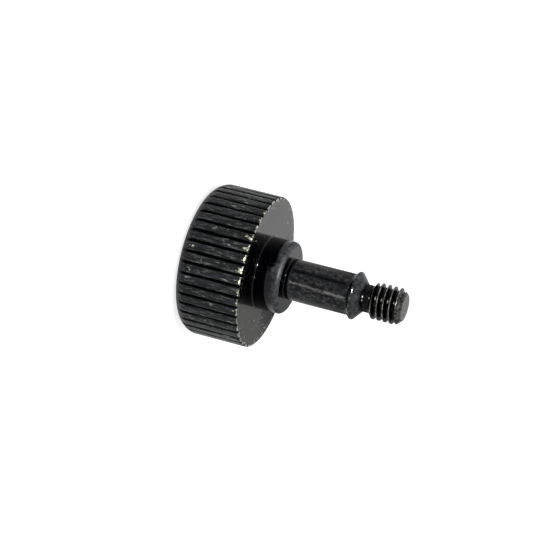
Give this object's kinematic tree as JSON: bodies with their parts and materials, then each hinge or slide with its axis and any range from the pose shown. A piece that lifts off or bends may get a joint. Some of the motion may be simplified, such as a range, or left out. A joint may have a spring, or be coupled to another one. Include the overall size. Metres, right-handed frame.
{
  "type": "thumb screw",
  "caption": "One-piece thumb screw: ribbed round head, plain collar, smooth shank with a retaining ridge, neck and short right-hand thread.",
  "frame": {"origin": "centre of the head's outer face, which the screw stands on", "axes": "+Z along the screw's axis, from the head towards the threaded tip; +X and +Y across it"},
  "size_m": [0.024, 0.024, 0.0338],
  "materials": {
    "black_finish": "gloss black, worn at the rib ends"
  },
  "bodies": {
    "root": {"thumb_screw": "black_finish"}
  },
  "joints": []
}
